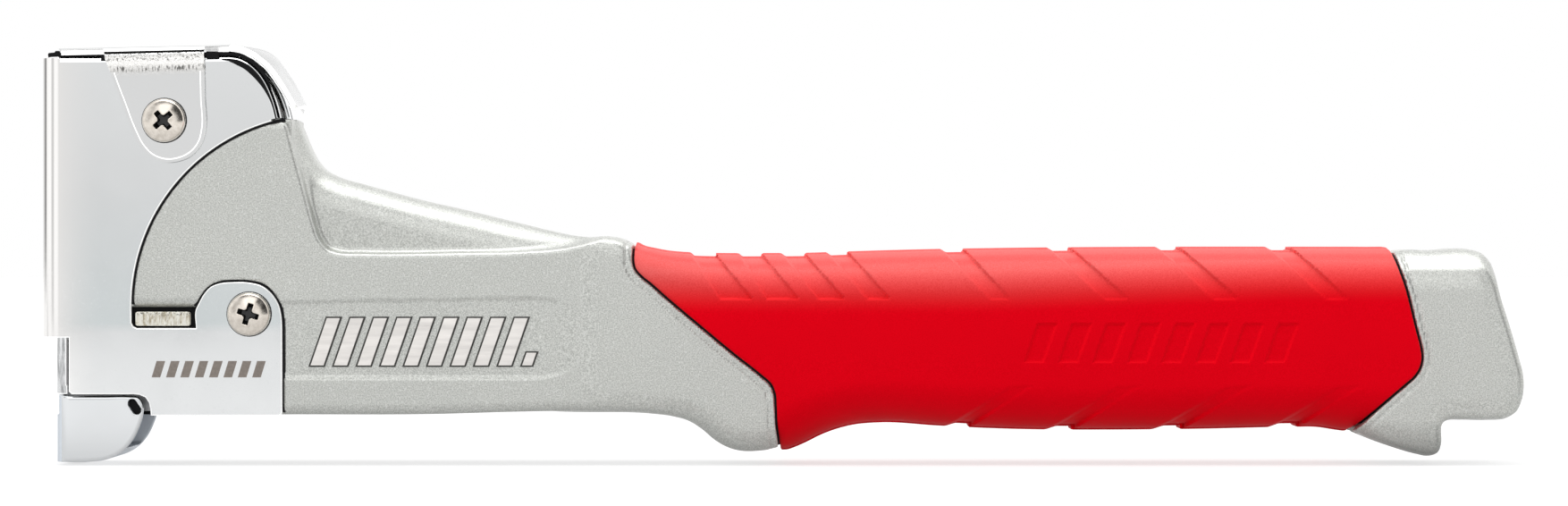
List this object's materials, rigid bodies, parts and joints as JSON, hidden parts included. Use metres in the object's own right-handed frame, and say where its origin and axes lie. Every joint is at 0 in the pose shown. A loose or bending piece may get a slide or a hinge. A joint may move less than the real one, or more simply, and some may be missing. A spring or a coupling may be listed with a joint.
{
  "type": "hammer tacker",
  "caption": "Swing-action staple hammer: metal head and handle with a rubber grip, hinged nose and staple magazine, rocker-driven blade, and a pull-out rod loader in the tail.",
  "frame": {"origin": "centre plane of the tool, on the flat nose sole just behind the staple slot", "axes": "+X from the head to the tail along the handle, +Z from the sole up to the striking strap, +Y to the tool's right-hand side when seen from the tail end"},
  "size_m": [0.3248, 0.0398, 0.0913],
  "materials": {
    "cast_paint": "satin",
    "grip_rubber": "matte",
    "chrome_sheet": "polished",
    "nickel_screw": "gloss",
    "bare_steel": "satin",
    "spring_wire": "gloss",
    "urethane": "satin",
    "black_rubber": "matte",
    "black_plastic": "matte"
  },
  "bodies": {
    "body": {"body_casting": "cast_paint", "grip_sleeve": "grip_rubber", "head_shell": "chrome_sheet", "strike_strap": "chrome_sheet", "upper_screw_left": "nickel_screw", "upper_screw_right": "nickel_screw", "lower_screw_left": "nickel_screw", "lower_screw_right": "nickel_screw", "rocker_axle": "bare_steel", "driver_wear_plate": "bare_steel", "shock_block_left": "urethane", "shock_block_right": "urethane", "stop_pad": "black_rubber", "return_spring": "spring_wire"},
    "magazine": {"nose_shoe": "chrome_sheet", "nose_guide_plate": "chrome_sheet", "magazine_channel": "bare_steel", "staple_rail": "bare_steel", "lifter_post": "bare_steel", "pivot_pin_left": "bare_steel", "pivot_pin_right": "bare_steel", "pivot_spacer_left": "black_plastic", "pivot_spacer_right": "black_plastic", "spring_seat": "bare_steel"},
    "rocker": {"rocker_lever": "bare_steel", "rocker_bush_left": "black_plastic", "rocker_bush_right": "black_plastic"},
    "driver": {"driver_blade": "bare_steel"},
    "loader": {"pusher_rod": "bare_steel", "pusher_spring": "spring_wire", "loader_cap": "black_plastic", "catch_pin": "bare_steel"},
    "pusher": {"staple_pusher": "bare_steel"},
    "catch": {"thumb_catch": "chrome_sheet"}
  },
  "joints": [
    {"name": "magazine_pivot", "type": "hinge", "parent": "body", "child": "magazine", "pos_m": [0.262, 0, 0.019], "axis": [0, 1, 0], "range_deg": [0, 2.26], "deforming": ["return_spring"]},
    {"name": "rocker_swing", "type": "hinge", "parent": "body", "child": "rocker", "pos_m": [0.0196, 0, 0.0749], "axis": [0, 1, 0], "range_deg": [-42, 0]},
    {"name": "driver_stroke", "type": "slide", "parent": "body", "child": "driver", "axis": [0, 0, -1], "range_m": [0, 0.0155]},
    {"name": "loader_pull", "type": "slide", "parent": "magazine", "child": "loader", "axis": [1, 0, 0], "range_m": [0, 0.3]},
    {"name": "pusher_feed", "type": "slide", "parent": "loader", "child": "pusher", "axis": [1, 0, 0], "range_m": [0, 0.2], "deforming": ["pusher_spring"]},
    {"name": "catch_tilt", "type": "hinge", "parent": "loader", "child": "catch", "pos_m": [0.3055, 0, 0.012], "axis": [0, 1, 0], "range_deg": [-8, 0]}
  ],
  "couplings": [
    {"joint": "rocker_swing", "follows": "magazine_pivot", "ratio": -18.5},
    {"joint": "driver_stroke", "follows": "magazine_pivot", "m_per_rad": 0.39}
  ]
}
